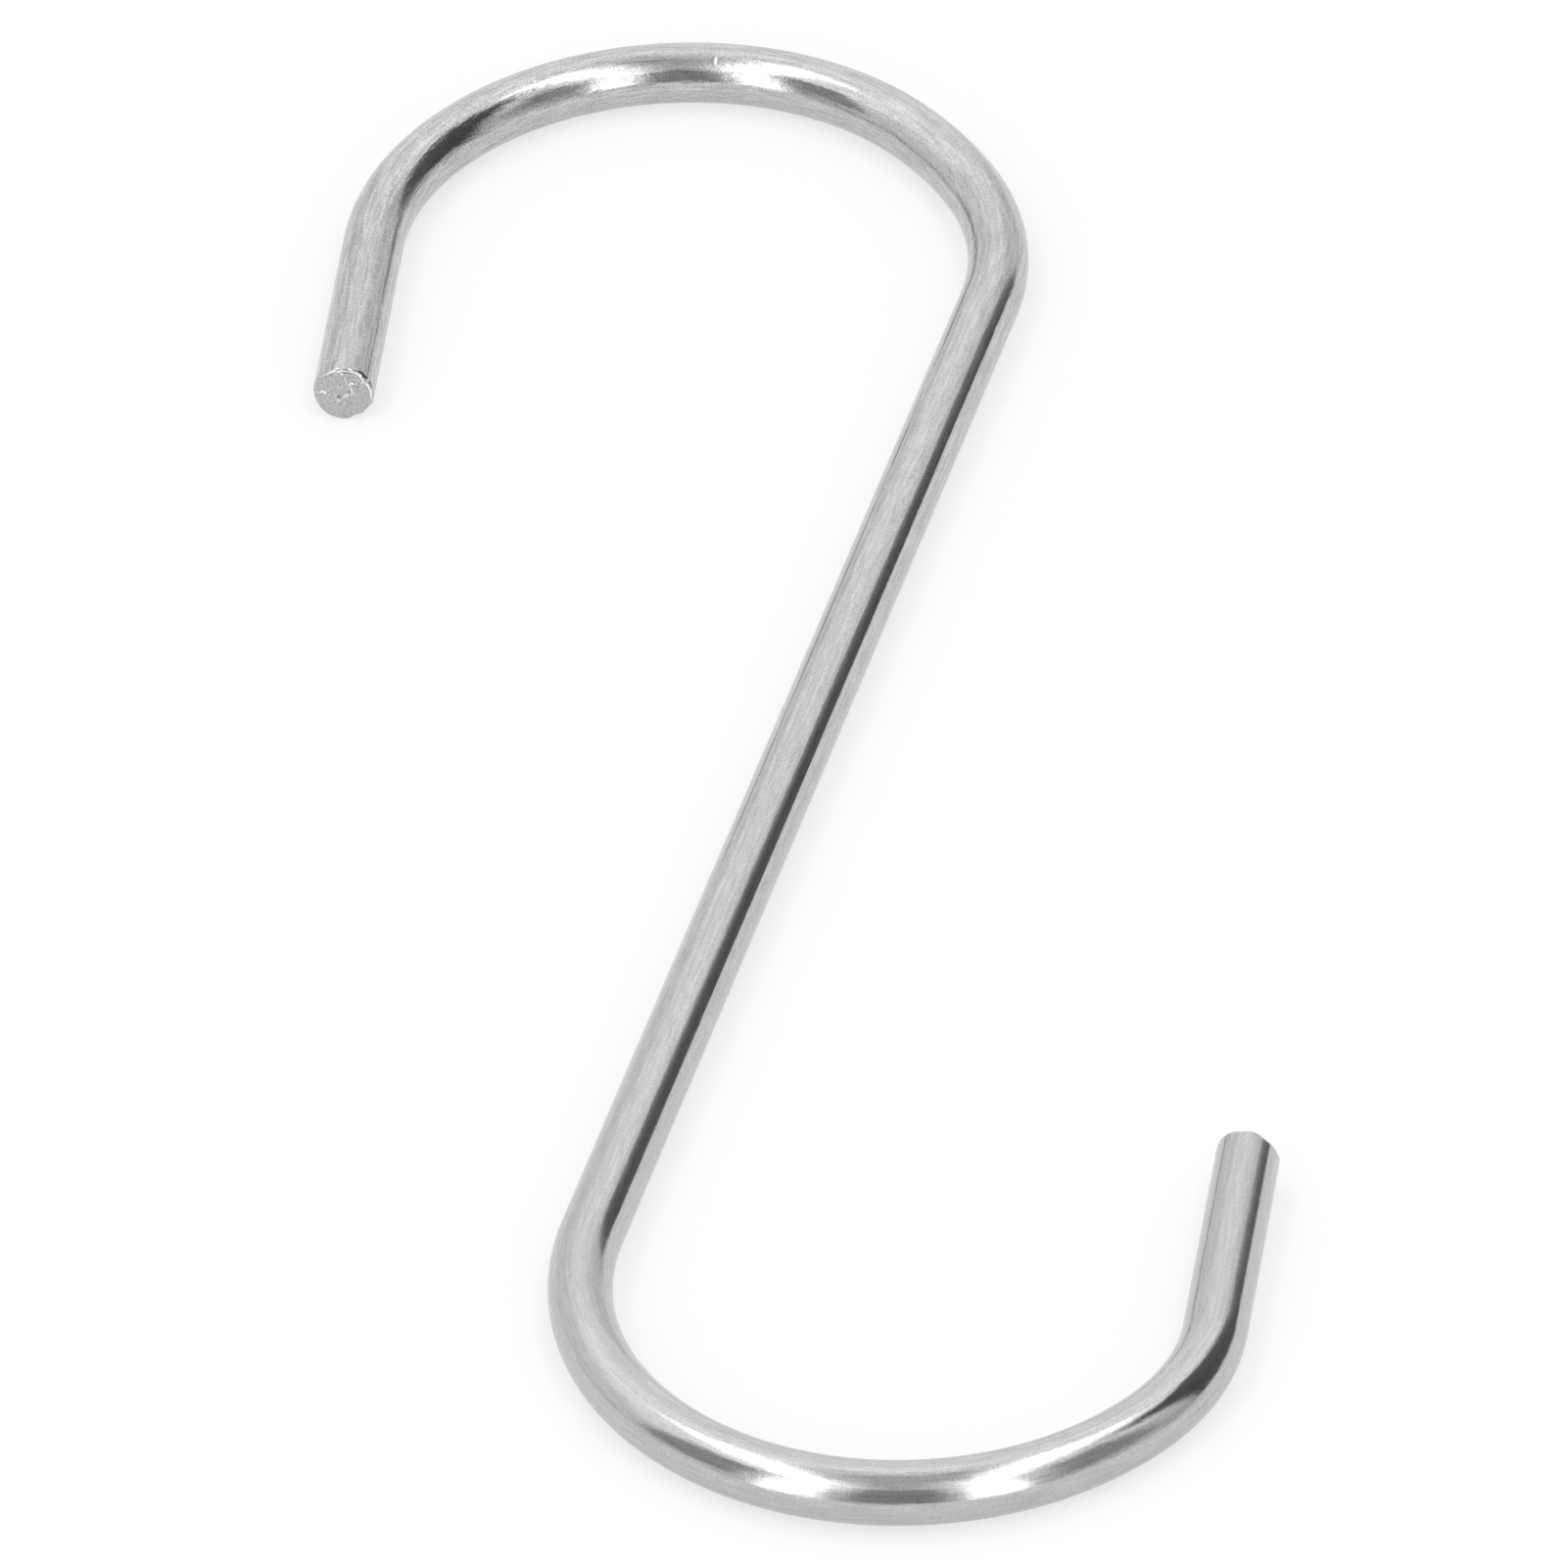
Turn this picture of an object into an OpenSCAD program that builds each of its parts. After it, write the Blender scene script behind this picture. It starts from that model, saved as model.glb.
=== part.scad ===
// Open S hook, bent from one length of round wire, with both ends left as the shear cut them.
// It lies flat: X runs across it, Y along the straight shank, and Z up from the surface below.
// The origin is on that surface, under the middle of the hook's outline.

/* [Wire] */
// Diameter of the wire
wire_d = 4; // [3:0.1:6]

/* [Shank] */
// Length of the straight stretch between the two hooks
shank_l = 97.1; // [60:0.1:160]

/* [Upper hook] */
// Centreline radius of the throat, the first bend, where the wire leaves the shank
upper_throat_r = 19.2; // [14:0.1:30]
// Turn of the throat, in degrees
upper_throat_turn = 38.19; // [25:0.01:50]
// Centreline radius of the flatter bend that leads into the crown
upper_flat_r = 27.3; // [16:0.1:40]
// Turn of the flatter bend, in degrees
upper_flat_turn = 18.08; // [8:0.01:30]
// Centreline radius of the crown, which sits on the rail
upper_crown_r = 20; // [14:0.1:30]
// Turn of the crown, in degrees
upper_crown_turn = 132.82; // [115:0.01:140]
// Length of the straight leg that ends the hook
upper_leg_l = 16.3; // [8:0.1:30]

/* [Lower hook] */
// Centreline radius of the crown, which carries the load
lower_crown_r = 20.3; // [14:0.1:30]
// Turn of the crown, in degrees
lower_crown_turn = 150.59; // [135:0.01:160]
// Centreline radius of the nose, the tighter bend that brings the wire up into the leg
lower_nose_r = 14.9; // [10:0.1:25]
// Turn of the nose, in degrees
lower_nose_turn = 36.53; // [25:0.01:45]
// Length of the straight leg that ends the hook
lower_leg_l = 16.8; // [8:0.1:30]

/* [Sheared ends] */
// Lean of the upper hook's cut face from square, in degrees
upper_cut_lean = 6; // [0:0.5:12]
// Lean of the lower hook's cut face from square, in degrees
lower_cut_lean = 4.5; // [0:0.5:12]
// Height of the burr that the blade leaves standing on one side of each face
burr_h = 0.25; // [0.1:0.01:0.5]
// Thickness of the burr at its middle, from where it thins out to both sides
burr_t = 0.22; // [0.1:0.01:0.4]
// Depth of the nipped corner, along the face from the rim
nip_depth = 0.25; // [0.1:0.01:0.8]
// Slope of the nipped corner from the face, in degrees
nip_slope = 52; // [30:1:60]

/* [Hidden] */
$fn = 96;

wire_r = wire_d / 2;

// The bends of each hook from the shank outwards, as [radius, turn]
upper_bends = [
    [upper_throat_r, upper_throat_turn],
    [upper_flat_r, upper_flat_turn],
    [upper_crown_r, upper_crown_turn],
];
lower_bends = [
    [lower_crown_r, lower_crown_turn],
    [lower_nose_r, lower_nose_turn],
];

// Clock angles on the cut faces, counted from the right as seen looking at the face with Z up:
// where the face leans to, where its burr stands highest and where its corner is nipped
upper_lean_at = 90;
upper_burr_at = 105;
upper_nip_at = -50;
lower_lean_at = 180;
lower_burr_at = 60;
lower_nip_at = 150;

// How far a bend is swept past its turn before it is trimmed, in degrees
spare_turn = 5;
// Side of the blocks that trim the wire
block = 3 * wire_d;
// Slope of the burr's crest, which comes down to the face on the far side of the wire
burr_slope = atan(burr_h / wire_d);

// The outline's middle is worked out by walking each hook's centreline from its end of the shank.
// A place on it is [x, y, heading], and every bend turns left.
upper_start = [0, shank_l / 2, 90];
lower_start = [0, -shank_l / 2, 270];

// The point of a bend, started at a place, where the wire heads a given way
function on_bend(bend, at, heading) = [
    at.x + bend[0] * (sin(heading) - sin(at[2])),
    at.y + bend[0] * (cos(at[2]) - cos(heading)),
];

// The place that a bend leads to
function after(bend, at) =
    let (heading = at[2] + bend[1])
        concat(on_bend(bend, at, heading), heading);

// The points of the bends and of the tip that can lie furthest out along X or Y
function far_points(bends, leg, at, i = 0) =
    i == len(bends)
        ? [[at.x + leg * cos(at[2]), at.y + leg * sin(at[2])]]
        : concat(
            [
                for (heading = [0 : 90 : 630])
                    if (heading >= at[2] && heading <= at[2] + bends[i][1])
                        on_bend(bends[i], at, heading),
            ],
            far_points(bends, leg, after(bends[i], at), i + 1)
        );

outline = concat(
    far_points(upper_bends, upper_leg_l, upper_start),
    far_points(lower_bends, lower_leg_l, lower_start)
);
outline_x = [for (point = outline) point.x];
outline_y = [for (point = outline) point.y];
middle = [max(outline_x) + min(outline_x), max(outline_y) + min(outline_y)] / 2;

// A block with one face on the origin, square to Y, and the rest of it ahead
module block_ahead() {
    translate([-block / 2, 0, -block / 2])
        cube(block);
}

// Straight wire from the origin along +Y
module straight(length) {
    rotate([-90, 0, 0])
        cylinder(h = length, r = wire_r);
}

// A bend from the origin along +Y, turning left. It is swept a little too far and trimmed on
// the very plane where the next stretch, its child, starts, so that the two meet face to face.
module bend(radius, turn) {
    translate([-radius, 0, 0]) {
        difference() {
            rotate_extrude(angle = turn + spare_turn)
                translate([radius, 0])
                    circle(r = wire_r);
            rotate([0, 0, turn])
                translate([radius, 0, 0])
                    block_ahead();
        }
        rotate([0, 0, turn])
            translate([radius, 0, 0])
                children();
    }
}

// Bends one after another, then the children
module bends_then(bends, i = 0) {
    if (i < len(bends))
        bend(bends[i][0], bends[i][1])
            bends_then(bends, i + 1)
                children();
    else
        children();
}

// Tips what stands on the origin along +Y over towards a clock angle
module lean_to(angle, clock) {
    rotate([0, clock, 0])
        rotate([0, 0, angle])
            rotate([0, -clock, 0])
                children();
}

// What the shear takes off a wire that runs along +Y and is to be cut at the origin.
// The burr stays: a sliver of the wire's own round side, thinning out along the rim.
module shear_waste(lean, lean_at, burr_at, nip_at) {
    lean_to(lean, lean_at)
        lean_to(-burr_slope, burr_at)
            translate([0, burr_h / 2, 0])
                block_ahead();
    intersection() {
        lean_to(lean, lean_at)
            block_ahead();
        rotate([0, burr_at, 0])
            translate([burr_t, -wire_d, 0])
                straight(2 * wire_d);
    }
    rotate([0, nip_at, 0])
        translate([nip_depth - wire_r, 0, 0])
            rotate([0, 0, nip_slope])
                block_ahead();
}

// The straight leg that ends a hook, sheared off at its length
module leg(length, lean, lean_at, burr_at, nip_at) {
    difference() {
        straight(length + wire_d);
        translate([0, length, 0])
            shear_waste(lean, lean_at, burr_at, nip_at);
    }
}

module shank() {
    translate([0, -shank_l / 2, 0])
        straight(shank_l);
}

module upper_hook() {
    translate([0, shank_l / 2, 0])
        bends_then(upper_bends)
            leg(upper_leg_l, upper_cut_lean, upper_lean_at, upper_burr_at, upper_nip_at);
}

module lower_hook() {
    translate([0, -shank_l / 2, 0])
        rotate([0, 0, 180])
            bends_then(lower_bends)
                leg(lower_leg_l, lower_cut_lean, lower_lean_at, lower_burr_at, lower_nip_at);
}

module s_hook() {
    color("silver")
        translate([-middle.x, -middle.y, wire_r]) {
            shank();
            upper_hook();
            lower_hook();
        }
}

s_hook();
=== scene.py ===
# %% [markdown]
# # An S hook of chromed wire
#
# The object is one length of round steel wire. A machine bends it cold into two open hooks that
# face opposite ways, a shear cuts both ends, and a bath plates it with bright chrome. There is
# nothing else to it, so everything rests on three things: true bends, honest cut ends, and metal
# that mirrors a believable studio.
#
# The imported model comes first, as a fixed frame. All that is made here is in metres and lies
# where the frame says.

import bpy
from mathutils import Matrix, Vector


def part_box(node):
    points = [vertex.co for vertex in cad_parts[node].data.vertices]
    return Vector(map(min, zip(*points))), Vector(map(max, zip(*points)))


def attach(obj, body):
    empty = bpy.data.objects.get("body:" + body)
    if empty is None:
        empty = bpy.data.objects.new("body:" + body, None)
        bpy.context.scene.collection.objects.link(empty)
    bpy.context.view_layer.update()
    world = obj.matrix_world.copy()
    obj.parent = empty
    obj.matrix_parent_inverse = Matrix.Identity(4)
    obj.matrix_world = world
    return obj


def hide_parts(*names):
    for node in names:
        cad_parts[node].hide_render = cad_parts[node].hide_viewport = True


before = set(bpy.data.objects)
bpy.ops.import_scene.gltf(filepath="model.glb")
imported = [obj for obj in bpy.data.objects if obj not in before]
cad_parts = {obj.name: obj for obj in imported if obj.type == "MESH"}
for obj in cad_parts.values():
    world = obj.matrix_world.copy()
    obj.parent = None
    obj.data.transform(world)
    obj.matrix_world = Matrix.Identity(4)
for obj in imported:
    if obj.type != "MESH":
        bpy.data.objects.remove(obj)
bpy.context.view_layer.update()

import bpy
import numpy as np
from mathutils import Matrix, Vector, noise

MM = 0.001
MICRON = 0.001 * MM
print("Blender", bpy.app.version_string, "works in metres, so a millimetre is", MM)

# %% [markdown]
# ## The wire's middle line
#
# The wire has a straight shank and, at each end of it, two or three bends and a short straight
# leg. Every bend is a true arc, because a bending tool has a round former. Such a line could be
# a Bezier curve, but a Bezier only comes near an arc, and chrome shows the smallest flat. So the
# line is walked: a straight goes ahead, and a bend turns left or right about its own centre.

# %% The sizes of the wire and its bends
WIRE_R = 2.0 * MM

# From the upper tip to the lower one. A bend has a radius and a turn, in degrees to the left.
STRETCHES = (
    ("straight", 16.3 * MM),
    ("bend", 20.0 * MM, -132.82),
    ("bend", 27.3 * MM, -18.08),
    ("bend", 19.2 * MM, -38.19),
    ("straight", 97.1 * MM),
    ("bend", 20.3 * MM, 150.59),
    ("bend", 14.9 * MM, 36.53),
    ("straight", 16.8 * MM),
)
# The way that the wire heads from its upper tip, in degrees to the left of +X
START_HEADING = 99.09
print("stretches:", len(STRETCHES), "bends:", sum(s[0] == "bend" for s in STRETCHES))


# %% Walk along the wire
def length_of(stretch):
    """Length of one stretch of the wire."""
    return stretch[1] if stretch[0] == "straight" else stretch[1] * abs(np.radians(stretch[2]))


def place_at(distance):
    """The place that lies so far along the wire from the upper tip, as (x, y, heading)."""
    x, y, heading = 0.0, 0.0, np.radians(START_HEADING)
    for stretch in STRETCHES:
        here = min(distance, length_of(stretch))
        if stretch[0] == "straight":
            x += here * np.cos(heading)
            y += here * np.sin(heading)
        else:
            side = np.copysign(stretch[1], stretch[2])
            new_heading = heading + here / side
            x += side * (np.sin(new_heading) - np.sin(heading))
            y += side * (np.cos(heading) - np.cos(new_heading))
            heading = new_heading
        distance -= here
        if distance <= 0:
            break
    return x, y, heading


wire_length = sum(length_of(stretch) for stretch in STRETCHES)
print("wire length, mm:", round(wire_length / MM, 2))

# %% [markdown]
# ## Small knocks
#
# A hook like this is tipped into a barrel with hundreds of others, so it carries a few knocks: a
# pimple under the plate, a flattened spot, a short bright scar across the crown. Each has a place
# along the wire and an angle around it, and the skin gets closer rings there. An angle of 0 is on
# the right as the walk goes, and 90 is on top.

# %% Where the knocks are
# Distance from the upper tip, angle around the wire, height, reach along and reach around
KNOCKS = (
    (55.8 * MM, 312.0, 0.05 * MM, 0.16 * MM, 0.16 * MM),
    (141.0 * MM, 24.0, -0.05 * MM, 0.45 * MM, 0.22 * MM),
    (48.3 * MM, 62.0, -0.03 * MM, 0.12 * MM, 0.20 * MM),
    (88.0 * MM, 150.0, -0.03 * MM, 0.35 * MM, 0.14 * MM),
    (11.0 * MM, 18.0, -0.03 * MM, 0.30 * MM, 0.12 * MM),
    (187.5 * MM, 70.0, -0.025 * MM, 0.20 * MM, 0.20 * MM),
    (5.0 * MM, 20.0, -0.02 * MM, 0.14 * MM, 0.10 * MM),
    (7.3 * MM, 20.0, -0.02 * MM, 0.16 * MM, 0.10 * MM),
    (78.4 * MM, 36.0, -0.03 * MM, 0.20 * MM, 0.12 * MM),
    (80.0 * MM, 38.0, -0.03 * MM, 0.22 * MM, 0.12 * MM),
)


def knocked(distance, angles):
    """How far the knocks move the skin outward at a place along the wire."""
    moved = np.zeros(len(angles))
    for at, angle, tall, reach_along, reach_around in KNOCKS:
        off = (angles - np.radians(angle) + np.pi) % (2 * np.pi) - np.pi
        spread = ((distance - at) / reach_along) ** 2 + (off * WIRE_R / reach_around) ** 2
        moved += tall * np.exp(-spread)
    return moved


print("knocks:", len(KNOCKS), "deepest, mm:", round(min(knock[2] for knock in KNOCKS) / MM, 3))

# %% Distances of the rings along the wire
# The steps from ring to ring on a straight, on a bend and close to a knock
STRAIGHT_STEP = 1.0 * MM
BEND_STEP = 0.5 * MM
CLOSE_STEP = 0.07 * MM
# How far from a knock is still close, and the least step, under which two rings become one
CLOSE_REACH = 0.75 * MM
LEAST_STEP = 0.4 * CLOSE_STEP

ring_places = [0.0]
start = 0.0
for stretch in STRETCHES:
    step = STRAIGHT_STEP if stretch[0] == "straight" else BEND_STEP
    count = round(length_of(stretch) / step)
    ring_places += [start + length_of(stretch) * k / count for k in range(1, count + 1)]
    start += length_of(stretch)
for knock in KNOCKS:
    ring_places += list(np.arange(knock[0] - CLOSE_REACH, knock[0] + CLOSE_REACH, CLOSE_STEP))
ring_places = np.sort(ring_places)
keep = np.concatenate([[True], np.diff(ring_places) > LEAST_STEP])
along = ring_places[keep]
along[-1] = wire_length
print("rings along the wire:", len(along))

# %% The middle line in the frame
# The frame puts the middle of the hook's outline over the origin, so the line is moved there
line = np.array([place_at(distance) for distance in along])
outline_middle = (line[:, :2].min(0) + line[:, :2].max(0)) / 2
line[:, :2] -= outline_middle
low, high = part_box("s_hook")
reach = line[:, :2].max(0) - line[:, :2].min(0) + 2 * WIRE_R
print("line with its wire, mm:", [round(v / MM, 2) for v in reach])
print("packed hook, mm:", [round((b - a) / MM, 2) for a, b in zip(low, high)])

# %% [markdown]
# ## The skin of the wire
#
# The skin is a ring of points at each place on the line, square to it. Each point also keeps
# where it lay on the straight wire before the bending. The drawing die left its fine lines along
# that straight wire, so a finish that reads this place runs round the bends as the real one does.

# %% Rings of the skin, and where each point lay on the straight wire
AROUND = 120
turns = np.arange(AROUND) * 2 * np.pi / AROUND


def side_of(heading):
    """The direction across the wire, in the plane that the hook lies in."""
    return np.array([np.sin(heading), -np.cos(heading), 0.0])


def on_skin(place, distance_along, radius=WIRE_R, lift=0.0):
    """A ring of points, and their places on the straight wire. Lift moves it along the wire."""
    radius = radius + knocked(distance_along, turns)
    x, y, heading = place
    ahead = np.array([np.cos(heading), np.sin(heading), 0.0])
    across = np.outer(radius * np.cos(turns), side_of(heading))
    up = np.outer(radius * np.sin(turns), (0.0, 0.0, 1.0))
    shift = np.outer(np.broadcast_to(lift, turns.shape), ahead)
    points = np.array([x, y, WIRE_R]) + across + up + shift
    drawn = np.column_stack([
        radius * np.cos(turns),
        radius * np.sin(turns),
        distance_along + np.broadcast_to(lift, turns.shape),
    ])
    return points, drawn


print("points in a ring:", AROUND, "step, mm:", round(2 * np.pi * WIRE_R / AROUND / MM, 3))

# %% [markdown]
# ## The sheared ends
#
# A shear doesn't cut wire like a saw. The blade bites in and rounds the first edge over, the
# middle tears and leaves a rough, cratered grey face that leans a little, and the last edge
# stands up as a thin ragged burr. One corner is nipped where the wire let go. The ends are
# modelled, not only bumped, because the burr's bright rim and the bitten corner show in outline.
#
# Each face is a set of rings that shrink to the middle. A clock angle gives a direction on it,
# counted from the right as seen looking at the face with Z up.

# %% What the shear left on each end
# Angles are in degrees. The face leans by lean towards lean_at, the burr stands from burr_from to
# burr_to, the corner is nipped at nip_at, and the side is drawn in most at neck_at. Torn_nip says
# whether the nip shows torn metal, and seed gives each end a roughness of its own.
UPPER_CUT = {
    "lean": 6.0, "lean_at": 90.0, "burr_from": -14.0, "burr_to": 132.0, "burr_h": 0.25 * MM,
    "nip_at": -50.0, "neck_at": 36.0, "torn_nip": True, "seed": 3.0,
}
LOWER_CUT = {
    "lean": 4.5, "lean_at": 180.0, "burr_from": -15.0, "burr_to": 112.0, "burr_h": 0.16 * MM,
    "nip_at": 150.0, "neck_at": 80.0, "torn_nip": False, "seed": 11.0,
}
print("burr heights, mm:", [round(cut["burr_h"] / MM, 2) for cut in (UPPER_CUT, LOWER_CUT)])

# %% The torn crater near the middle of a face
# Ridge lines and pits, in millimetres right and up on the face, and how wide each of them is
RIDGES = (
    ((-0.30, 1.35), (-0.08, 1.49), (0.27, 0.77), (0.90, 0.76)),
    ((0.27, 0.77), (0.56, 0.40), (0.62, 0.01), (0.17, -0.18), (-0.35, -0.52), (-0.56, -0.21)),
    ((-1.73, 0.13), (-1.00, -0.06)),
)
PITS = ((0.36, 0.06), (-0.31, -0.30), (0.01, 1.20), (0.95, 0.42))
RIDGE_W = 0.08
PIT_W = 0.10
# How far the ridges wander off their lines, the scale of that, and the step to a second noise
# value, so that right and up wander apart
WANDER = 0.09
WANDER_SCALE = 3.0
ELSEWHERE = Vector((9.3, -1.5, -8.0))


def from_segment(right, up, start, end):
    """Distance of a point on the face from a straight piece of ridge, in millimetres."""
    here = Vector((right, up))
    a, b = Vector(start), Vector(end)
    share = max(0.0, min(1.0, (here - a).dot(b - a) / (b - a).length_squared))
    return (here - a.lerp(b, share)).length


def crater(right, up, seed):
    """From 1 on a ridge of the crater to -1 in a pit, at a point given in millimetres."""
    spot = Vector((right, up, seed)) * WANDER_SCALE
    astray_right = WANDER * noise.noise(spot)
    astray_up = WANDER * noise.noise(spot + ELSEWHERE)
    ridge = min(
        from_segment(right + astray_right, up + astray_up, chain[i], chain[i + 1])
        for chain in RIDGES
        for i in range(len(chain) - 1)
    )
    mark = np.exp(-((ridge / RIDGE_W) ** 2))
    for pit in PITS:
        away = (Vector((right, up)) - Vector(pit)).length
        mark -= np.exp(-((away / PIT_W) ** 2))
    return max(-1.0, mark)


print("ridge lines:", len(RIDGES), "pits:", len(PITS))

# %% The relief of a torn face
# Heights in millimetres, and scales in waves a millimetre
CRATER_H = 0.10
SWELL_H = 0.045
SWELL_SCALE = 1.1
LUMP_H = 0.030
LUMP_SCALE = 5.0
GRAIN_H = 0.012
GRAIN_SCALE = 11.0
# The swell is made of layers, each finer than the last by a step and weaker by a fade
SWELL_FADE = 0.9
SWELL_STEP = 2.1
SWELL_LAYERS = 4


def torn_relief(right, up, seed):
    """Height of the torn face at a point given in millimetres, also in millimetres."""
    spot = Vector((right, up, seed))
    height = SWELL_H * noise.fractal(spot * SWELL_SCALE, SWELL_FADE, SWELL_STEP, SWELL_LAYERS)
    height += LUMP_H * noise.noise(spot * LUMP_SCALE)
    height += GRAIN_H * noise.noise(spot * GRAIN_SCALE)
    return height + CRATER_H * crater(right, up, seed)


print("relief at the middle, mm:", round(torn_relief(0.0, 0.0, UPPER_CUT["seed"]), 3))

# %% The leaning cut and its nipped corner
NIP_DEPTH = 0.25 * MM
NIP_SLOPE = np.radians(52.0)
# The nip's edge has bites, each so many degrees wide, and smaller crumbs
BITE_H = 0.10 * MM
BITE_WIDTH = 38
BITE_SHIFT = 4.5
CRUMB_H = 0.04 * MM
CRUMB_SCALE = 9


def turned(clock, towards):
    """Degrees from a clock angle, from -180 to 180."""
    return (np.degrees(clock) - towards + 180) % 360 - 180


def face_plane(radius, clock, cut):
    """Height of the leaning cut over a square one."""
    return -np.tan(np.radians(cut["lean"])) * radius * np.cos(clock - np.radians(cut["lean_at"]))


def nip_limit(radius, clock, cut):
    """How high the metal can stand where the corner is nipped, with a crumbled edge."""
    off = turned(clock, cut["nip_at"])
    towards = radius * np.cos(np.radians(off))
    spot = Vector((np.cos(clock) * CRUMB_SCALE, np.sin(clock) * CRUMB_SCALE, cut["seed"]))
    bite = BITE_H * np.sin(np.radians((off - BITE_SHIFT) * 360 / BITE_WIDTH))
    crumble = bite + CRUMB_H * noise.noise(spot)
    return -np.tan(NIP_SLOPE) * (towards - (WIRE_R - NIP_DEPTH) + crumble)


nip_foot = nip_limit(WIRE_R, np.radians(UPPER_CUT["nip_at"]), UPPER_CUT)
print("the upper nip starts, mm from the cut:", round(nip_foot / MM, 3))

# %% The burr
# It fades in and out over so many degrees
BURR_FADE = 24
# The least lip, which runs all round, and what the burr adds to its thickness
LEAST_LIP = 0.03 * MM
BURR_T = 0.24 * MM
# Its crest as shares of its height: the middle, what the teeth add or take, and the least of it
CREST_MIDDLE = 0.85
CREST_TOOTH = 0.35
CREST_LEAST = 0.2
TOOTH_SCALE = 7.0
# A gap is torn where its own noise comes over a level
GAP_SHARE = 2.0
GAP_LEVEL = 0.25
GAP_SCALE = 3.1
GAP_SHIFT = Vector((5.0, 0.0, 0.0))


def standing(clock, cut):
    """From 1 where the burr stands to 0 on the rest of the rim."""
    middle = (cut["burr_from"] + cut["burr_to"]) / 2
    inside = (cut["burr_to"] - cut["burr_from"]) / 2 - abs(turned(clock, middle))
    return float(np.clip(0.5 + inside / BURR_FADE, 0, 1))


def ragged(clock, seed):
    """The burr's uneven height, as a share, with a torn gap here and there."""
    spot = Vector((np.cos(clock), np.sin(clock), seed))
    tooth = noise.noise(spot * TOOTH_SCALE)
    gap = max(0.0, noise.noise(spot * GAP_SCALE + GAP_SHIFT) - GAP_LEVEL)
    return max(CREST_LEAST, CREST_MIDDLE + CREST_TOOTH * tooth - GAP_SHARE * gap)


def crest(clock, cut):
    """Height of the burr over the cut."""
    return cut["burr_h"] * standing(clock, cut) * ragged(clock, cut["seed"])


def burr_width(clock, cut):
    """Thickness of the burr at its foot."""
    return LEAST_LIP + BURR_T * standing(clock, cut)


print("crest at the top, mm:", round(crest(np.pi / 2, UPPER_CUT) / MM, 3))

# %% The rolled edge, where there is no burr
# Its radius away from the burr, and the least of it, at the burr and in the ear beside the nip
ROLL_R = 0.20 * MM
LEAST_ROLL = 0.06 * MM
# Where the ear lies, counted from the nip, and how wide it is, in degrees
EAR_FROM_NIP = 26
EAR_WIDTH = 13


def roll(clock, cut):
    """Radius of the rolled edge, large where there is no burr, and small in the nip's ear."""
    ear = np.exp(-((turned(clock, cut["nip_at"] + EAR_FROM_NIP) / EAR_WIDTH) ** 2))
    return LEAST_ROLL + (ROLL_R - LEAST_ROLL) * (1 - standing(clock, cut)) * (1 - ear)


print("rolled edge at the left, mm:", round(roll(np.pi, UPPER_CUT) / MM, 3))

# %% The neck that the blade drew in behind the burr
NECK_DEPTH = 0.11 * MM
NECK_REACH = 0.30 * MM
# Width around the rim in degrees, and the share of the neck that runs along the whole burr
NECK_WIDTH = 14
NECK_SHARE = 0.1


def neck(below_rim, clock, cut):
    """How far the side is drawn in towards the burr."""
    deepest = np.exp(-((turned(clock, cut["neck_at"]) / NECK_WIDTH) ** 2))
    there = NECK_SHARE * standing(clock, cut) + deepest
    share = np.clip(1 - below_rim / NECK_REACH, 0, 1)
    return NECK_DEPTH * min(there, 1.0) * share * share * (3 - 2 * share)


upper_neck = neck(0.0, np.radians(UPPER_CUT["neck_at"]), UPPER_CUT)
print("deepest neck, mm:", round(upper_neck / MM, 3))


# %% Effects of a cut at every point of a ring
def clocks(outward):
    """The clock angle of each point of a ring. Outward is 1 if the line runs out of this end."""
    return np.arctan2(np.sin(turns), -outward * np.cos(turns))


def on_rim(effect, clock, cut):
    """What an effect of the rim gives at each clock angle."""
    return np.array([effect(c, cut) for c in clock])


def leaning(radius, clock, cut):
    """Heights of the leaning cut under a ring."""
    return np.array([face_plane(r, c, cut) for r, c in zip(radius, clock)])


def limited(radius, height, clock, cut):
    """Heights that stop at the nip."""
    stops = [nip_limit(r, c, cut) for r, c in zip(radius, clock)]
    return np.minimum(height, stops)


def drawn_in(below_rim, clock, cut):
    """How far each point of a ring is drawn in by the neck."""
    return np.array([neck(b, c, cut) for b, c in zip(below_rim, clock)])


def on_face(effect, radius, clock, cut):
    """What an effect of the torn face gives at each point of a ring."""
    return np.array([
        effect(r * np.cos(c) / MM, r * np.sin(c) / MM, cut["seed"]) for r, c in zip(radius, clock)
    ])


print("clock angles at the upper end start at:", np.degrees(clocks(-1)[:3]).round(1))

# %% How the rings of a cut end are spaced
# How far down the leg they start, and where the others on the side follow, as shares
TRIM = 1.8 * MM
TRIM_SHARES = (0.12, 0.25, 0.37, 0.48, 0.57, 0.65, 0.72, 0.78, 0.83, 0.88, 0.92, 0.96, 1.0)
# The rolled edge is a quarter turn, longer than it is deep
ROLL_ANGLES = np.radians((25.0, 50.0, 75.0, 90.0))
ROLL_LENGTH = 1.6
# The burr's own section, from its outside to its inside. Its outer part gets a painted highlight.
LIP_SHARES = (0.2, 0.45, 0.7, 0.9, 1.0)
LIP_PLACES = (0, 0.25, 0.6, 1)
LIP_HEIGHTS = (0.85, 1.0, 0.85, -0.35)
BRIGHT_LIP = 0.75
# The torn face, with a groove at the burr's foot. Its relief grows over the first few rings.
FACE_RINGS = 36
GROOVE_SHARE = 0.25
GROOVE_W = 0.12 * MM
SETTLE_RINGS = 3
side_rings = len(TRIM_SHARES)
edge_rings = len(ROLL_ANGLES) + len(LIP_SHARES)
print("rings on the side:", side_rings, "over the edge:", edge_rings, "inside:", FACE_RINGS - 1)

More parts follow.
